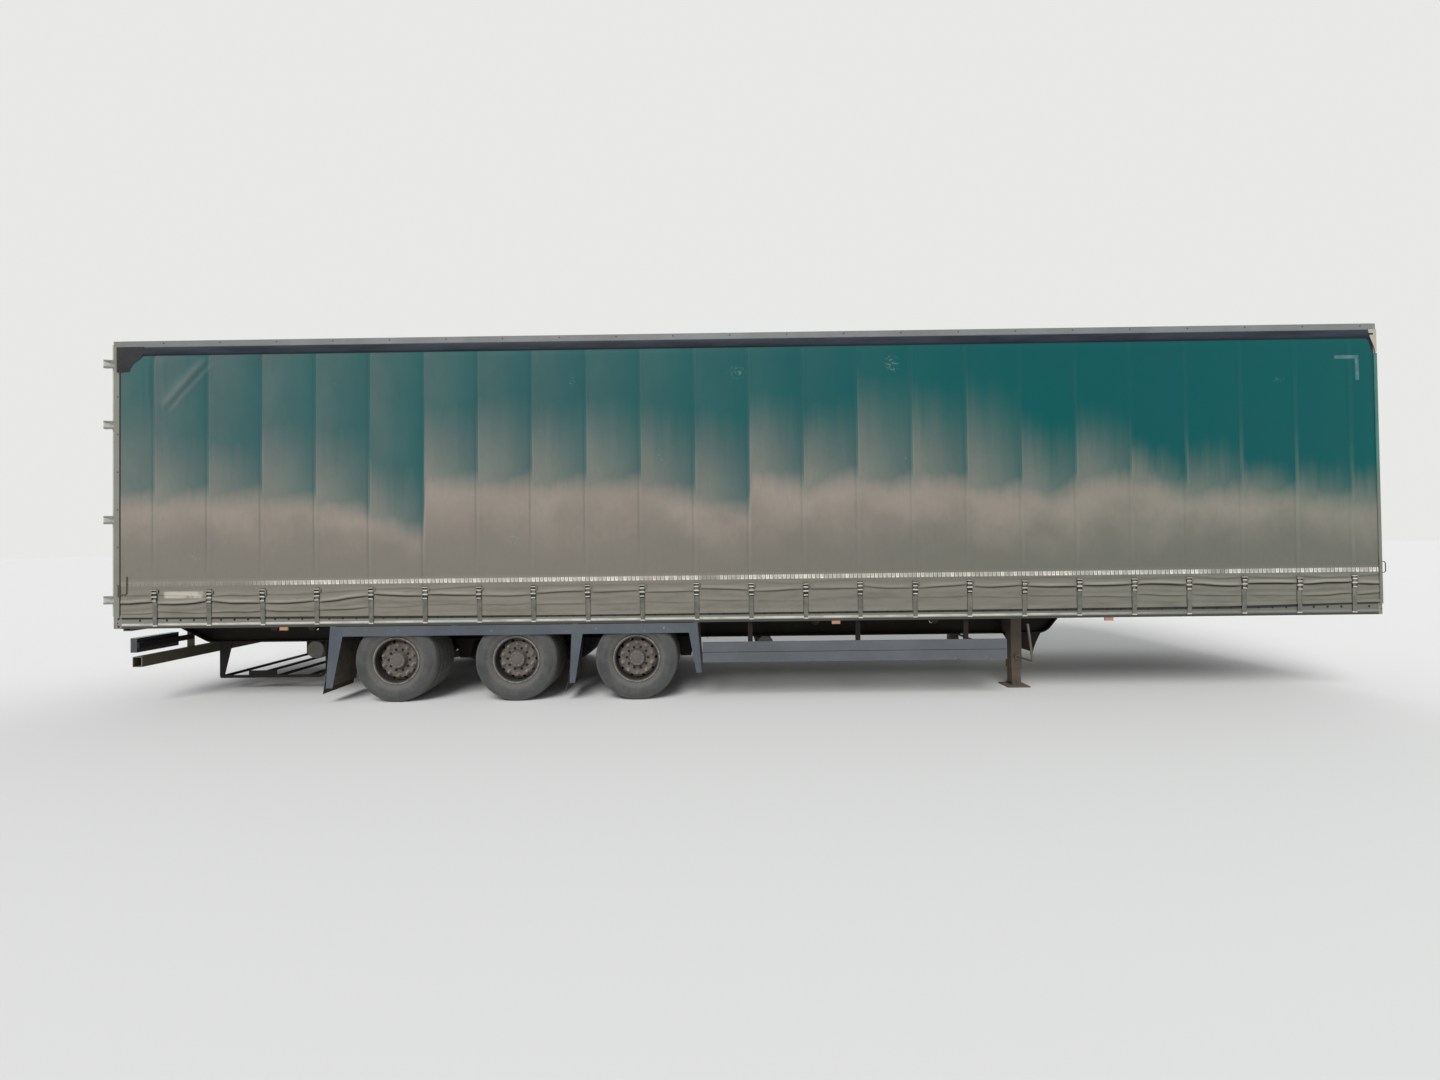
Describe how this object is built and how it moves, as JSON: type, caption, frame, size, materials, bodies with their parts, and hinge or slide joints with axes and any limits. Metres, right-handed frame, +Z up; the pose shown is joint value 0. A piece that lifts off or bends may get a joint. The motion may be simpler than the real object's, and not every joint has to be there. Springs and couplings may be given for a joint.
{
  "type": "curtain-sided semi-trailer",
  "caption": "Long three-axle road trailer with a low frame, side curtains held by straps, a flat roof and twin rear doors; towed by its kingpin and parked on two landing legs.",
  "frame": {"origin": "on the ground below the middle of the trailer's outline", "axes": "+X to the front, +Y to the trailer's left, +Z up"},
  "size_m": [13.8, 2.55, 3.965],
  "materials": {
    "frame_steel": "dull dark chassis paint under road dust",
    "grey_steel": "weathered blue-grey paint",
    "bare_steel": "zinc-plated or worn steel",
    "deck_plywood": "resin-faced plywood, scuffed",
    "white_aluminium": "off-white paint, dusty",
    "bare_aluminium": "mill-finish extrusion, dulled",
    "roof_tarpaulin": "translucent coated fabric",
    "curtain_tarpaulin": "coated tarpaulin, teal green with road dust",
    "strap_webbing": "polyester webbing, dusty",
    "buckle_steel": "zinc-plated pressed steel",
    "cap_plastic": "moulded plastic",
    "cast_iron": "rough painted casting",
    "black_rubber": "moulded rubber",
    "lamp_red": "moulded lens",
    "lamp_amber": "moulded lens",
    "tank_paint": "pale grey paint, dusty",
    "tyre_rubber": "worn and dusty",
    "rim_paint": "silver paint under beige dust"
  },
  "bodies": {
    "chassis": {"main_beams": "frame_steel", "crossmembers": "frame_steel", "outriggers": "frame_steel", "side_rails": "grey_steel", "end_sills": "grey_steel", "kingpin_plate": "frame_steel", "kingpin": "bare_steel", "floor_deck": "deck_plywood", "front_wall": "white_aluminium", "corner_posts": "grey_steel", "rear_header": "grey_steel", "roof_rails": "white_aluminium", "roof_bows": "bare_aluminium", "roof_sheet": "roof_tarpaulin", "side_pillars": "bare_aluminium", "curtain_left": "curtain_tarpaulin", "curtain_right": "curtain_tarpaulin", "curtain_straps": "strap_webbing", "strap_buckles": "buckle_steel", "corner_caps": "cap_plastic", "curtain_tensioners": "bare_steel", "axles": "frame_steel", "hangers": "frame_steel", "trailing_arms": "cast_iron", "air_springs": "black_rubber", "dampers": "frame_steel", "brake_chambers": "frame_steel", "mudguards": "grey_steel", "mudguard_panels": "grey_steel", "mud_flaps": "black_rubber", "guard_planks": "bare_aluminium", "guard_brackets": "frame_steel", "leg_tubes": "frame_steel", "leg_feet": "bare_steel", "leg_drive": "bare_steel", "leg_braces": "frame_steel", "spare_carrier": "frame_steel", "underrun_bar": "grey_steel", "lamp_brackets": "frame_steel", "tail_lamps": "lamp_red", "side_markers": "lamp_amber", "air_tanks": "tank_paint", "dock_buffers": "black_rubber"},
    "door_left": {"door_left": "white_aluminium", "lock_bars_left": "bare_steel"},
    "door_right": {"door_right": "white_aluminium", "lock_bars_right": "bare_steel"},
    "wheel_rear_left": {"tyre_rear_left": "tyre_rubber", "rim_rear_left": "rim_paint"},
    "wheel_rear_right": {"tyre_rear_right": "tyre_rubber", "rim_rear_right": "rim_paint"},
    "wheel_middle_left": {"tyre_middle_left": "tyre_rubber", "rim_middle_left": "rim_paint"},
    "wheel_middle_right": {"tyre_middle_right": "tyre_rubber", "rim_middle_right": "rim_paint"},
    "wheel_front_left": {"tyre_front_left": "tyre_rubber", "rim_front_left": "rim_paint"},
    "wheel_front_right": {"tyre_front_right": "tyre_rubber", "rim_front_right": "rim_paint"}
  },
  "joints": [
    {"name": "left_door_hinge", "type": "hinge", "parent": "chassis", "child": "door_left", "pos_m": [-6.886, 1.26, 1], "axis": [0, 0, -1], "range_deg": [0, 270]},
    {"name": "right_door_hinge", "type": "hinge", "parent": "chassis", "child": "door_right", "pos_m": [-6.886, -1.26, 1], "axis": [0, 0, 1], "range_deg": [0, 270]},
    {"name": "rear_left_spin", "type": "hinge", "parent": "chassis", "child": "wheel_rear_left", "pos_m": [-3.76, 1.02, 0.448], "axis": [0, 1, 0], "continuous": true},
    {"name": "rear_right_spin", "type": "hinge", "parent": "chassis", "child": "wheel_rear_right", "pos_m": [-3.76, -1.02, 0.448], "axis": [0, 1, 0], "continuous": true},
    {"name": "middle_left_spin", "type": "hinge", "parent": "chassis", "child": "wheel_middle_left", "pos_m": [-2.45, 1.02, 0.448], "axis": [0, 1, 0], "continuous": true},
    {"name": "middle_right_spin", "type": "hinge", "parent": "chassis", "child": "wheel_middle_right", "pos_m": [-2.45, -1.02, 0.448], "axis": [0, 1, 0], "continuous": true},
    {"name": "front_left_spin", "type": "hinge", "parent": "chassis", "child": "wheel_front_left", "pos_m": [-1.14, 1.02, 0.448], "axis": [0, 1, 0], "continuous": true},
    {"name": "front_right_spin", "type": "hinge", "parent": "chassis", "child": "wheel_front_right", "pos_m": [-1.14, -1.02, 0.448], "axis": [0, 1, 0], "continuous": true}
  ]
}
